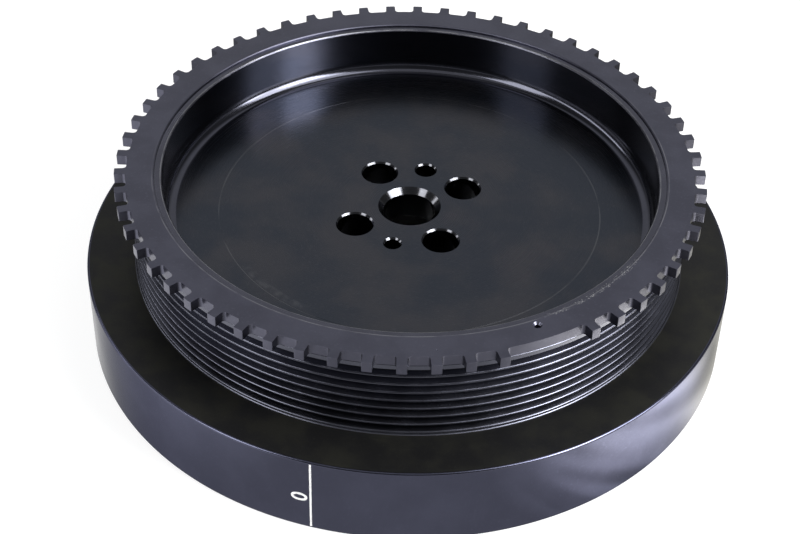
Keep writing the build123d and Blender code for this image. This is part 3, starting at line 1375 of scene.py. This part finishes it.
@dataclass
class StudioFloor:
    """White floor with a soft shadow, which mirror reflections see brighter at both sides and streaky on the right.

    Distances to the right and to the back are from the shaft's axis, in the view's own directions.
    """

    size: float = 12.0
    colour: Colour = (0.90, 0.90, 0.90)
    roughness: float = 0.9
    glow: float = 0.72
    radiance: float = 1.15
    open_floor: Fade = Fade(106.0, 118.0)
    view_right: float = 14.5
    plain_light: Colour = (1.0, 1.0, 1.0)
    warm_light: Colour = (1.03, 1.01, 0.92)
    warm_side: Fade = Fade(60.0, 110.0)
    mirror_base: float = 0.68
    mirror_left: Fade = Fade(-140.0, -50.0, 0.8, 0.0)
    mirror_right: Fade = Fade(40.0, 127.0, 0.0, 5.2)
    mirror_far_right: Fade = Fade(95.0, 118.0, 0.0, 4.6)
    mirror_front: Fade = Fade(-62.0, -22.0, 1.0, 0.12)
    mirror_back: Fade = Fade(0.0, 60.0, 1.0, 0.25)
    mirror_foot: Fade = Fade(116.0, 130.0, 0.62, 1.0)
    mirror_reach: Fade = Fade(140.0, 162.0, 1.0, 0.12)
    streak_width: float = 11.0
    streak_turn: float = 35.0
    streak_squeeze: float = 0.12
    streak_noise: tuple[float, float] = (0.40, 0.60)
    streak_share: tuple[float, float] = (0.35, 1.2)

    def streaks(self, board: MaterialBoard) -> bpy.types.NodeSocket:
        """Share of the right side's brightness, in long bands."""
        fold = board.add("ShaderNodeMapping")
        board.feed(fold.inputs["Vector"], board.place)
        fold.inputs["Rotation"].default_value = (0.0, 0.0, math.radians(self.streak_turn))
        fold.inputs["Scale"].default_value = (1.0, self.streak_squeeze, 1.0)
        bands = board.noise(self.streak_width, detail=0.0, place=fold.outputs[0])
        return board.ramp(bands, *self.streak_noise, *self.streak_share)

    def mirrored(
        self, board: MaterialBoard, rightward: bpy.types.NodeSocket, radius: bpy.types.NodeSocket
    ) -> bpy.types.NodeSocket:
        """Brightness of the floor in mirror reflections.

        Args:
            board: the floor's nodes.
            rightward: distance to the right of the shaft's axis, in metres.
            radius: distance from the shaft's axis, in metres.

        Returns:
            The brightness, where 1 is white.
        """
        backward = board.dot(board.place, polar(1.0, self.view_right + 90))
        right = board.maths(
            "ADD", self.mirror_right.over(board, rightward), self.mirror_far_right.over(board, rightward)
        )
        shares = (
            self.mirror_front.over(board, backward),
            self.mirror_reach.over(board, radius),
            self.mirror_foot.over(board, radius),
            self.streaks(board),
        )
        for share in shares:
            right = board.maths("MULTIPLY", right, share)
        sides = board.maths("ADD", right, self.mirror_left.over(board, rightward))
        level = board.maths("ADD", sides, self.mirror_base)
        return board.maths("MULTIPLY", level, self.mirror_back.over(board, backward))

    def build(self) -> None:
        """Adds the floor: matt white with a soft shadow, and dark underneath the part."""
        deselect_all()
        bpy.ops.mesh.primitive_plane_add(size=self.size)
        floor = bpy.context.object
        floor.name = "studio_floor"
        board = MaterialBoard("studio_floor")
        board.shader.inputs["Base Color"].default_value = (*self.colour, 1.0)
        board.shader.inputs["Roughness"].default_value = self.roughness
        board.shader.inputs["Specular IOR Level"].default_value = 0.0
        path = board.add("ShaderNodeLightPath").outputs
        glossy = path["Is Glossy Ray"]
        direct = board.maths("MAXIMUM", path["Is Camera Ray"], path["Is Transmission Ray"])
        seen = board.maths("MAXIMUM", board.maths("MULTIPLY", direct, self.glow), glossy)
        rightward = board.dot(board.place, polar(1.0, self.view_right))
        radius = board.turned_radius()
        plain = board.maths("MULTIPLY", board.maths("SUBTRACT", 1.0, glossy), self.radiance)
        mirrored = board.maths("MULTIPLY", glossy, self.mirrored(board, rightward, radius))
        warmth = board.maths("MULTIPLY", glossy, self.warm_side.over(board, rightward))
        glow = board.add("ShaderNodeEmission")
        board.feed(glow.inputs["Strength"], board.maths("ADD", plain, mirrored))
        board.feed(glow.inputs["Color"], board.blend(warmth, self.plain_light, self.warm_light))
        mix = board.add("ShaderNodeMixShader")
        board.feed(mix.inputs["Fac"], board.maths("MULTIPLY", seen, self.open_floor.over(board, radius)))
        board.feed(mix.inputs[1], board.shader.outputs[0])
        board.feed(mix.inputs[2], glow.outputs[0])
        board.feed(board.nodes["Material Output"].inputs["Surface"], mix.outputs[0])
        floor.data.materials.append(board.material)
        floor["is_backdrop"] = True


@dataclass
class Studio:
    """White floor, dim surroundings with a pale wall behind the part, and soft lights."""

    floor: StudioFloor = field(default_factory=StudioFloor)
    dim: float = 0.10
    tint: Colour = (0.97, 0.98, 1.0)
    back_wall: Glow = field(default_factory=lambda: Glow(104.5, 41.0, 24.0, 50.0, 0.62))
    horizon: float = 0.5
    horizon_fade: tuple[float, float] = (-0.28, -0.08)
    softboxes: tuple[Softbox, ...] = (
        Softbox("right_softbox", -9.0, 36.0, 1.2, 0.78, 0.90, 8.5),
        Softbox("right_softbox_core", -17.0, 36.0, 1.15, 0.30, 0.36, 24.0),
        Softbox("right_low_reflector", 5.0, 20.0, 1.3, 0.26, 0.30, 6.0),
        Softbox("right_top_reflector", -8.0, 64.0, 1.3, 0.60, 0.50, 3.0),
        Softbox("left_softbox", 227.0, 36.0, 1.2, 0.42, 0.90, 4.5),
        Softbox("left_reflector", 193.0, 21.0, 1.4, 1.16, 0.26, 3.8),
        Softbox("front_top_reflector", -76.0, 74.0, 1.4, 1.60, 0.80, 0.50),
    )

    def surroundings(self) -> None:
        """Gives the world its dim walls, its pale wall behind the part and its pale horizon."""
        world = bpy.data.worlds.new("surroundings")
        world.use_nodes = True
        board = NodeBoard(world.node_tree)
        facing = board.add("ShaderNodeTexCoord").outputs["Generated"]
        wall = self.back_wall
        outer, inner = math.cos(math.radians(wall.outer)), math.cos(math.radians(wall.inner))
        toward_wall = board.dot(facing, toward(wall.azimuth, wall.elevation))
        behind = board.ramp(toward_wall, outer, inner, 0.0, wall.radiance - self.dim)
        low_band = board.ramp(board.dot(facing, Vector((0, 0, -1))), *self.horizon_fade, 0.0, self.horizon)
        background = board.nodes["Background"]
        background.inputs["Color"].default_value = (*self.tint, 1.0)
        total = board.maths("ADD", board.maths("ADD", behind, low_band), self.dim)
        board.feed(background.inputs["Strength"], total)
        bpy.context.scene.world = world

    def build(self, aim: Vector) -> None:
        """Adds the floor, the surroundings and the lights.

        Args:
            aim: the point that the lights face, in metres.
        """
        self.floor.build()
        self.surroundings()
        for softbox in self.softboxes:
            softbox.build(aim)
        bpy.context.scene.view_settings.view_transform = "Standard"


def main() -> None:
    """Builds the damper's pieces and the studio."""
    logging.basicConfig(level=logging.INFO, format="%(name)s %(message)s")
    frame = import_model()
    packed_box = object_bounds()
    Camera().build()
    housing_maker = TurnedHousing()
    housing = housing_maker.build()
    place_on(housing, Body.HUB, "housing_steel", "housing")
    ring = TriggerRing(housing_maker.spigot_radius).build()
    place_on(ring, Body.HUB, "trigger_ring_steel", "tone_ring")
    for mark in TimingMarks(housing_maker.outer_radius).build():
        place_on(mark, Body.HUB, "housing_steel")
    for bead in CoverWelds().build():
        place_on(bead, Body.HUB, "cover_steel")
    dress_packed_nodes(frame["nodes"])
    Studio().build(sum(packed_box, Vector()) / 2)


if __name__ == "__main__":
    main()
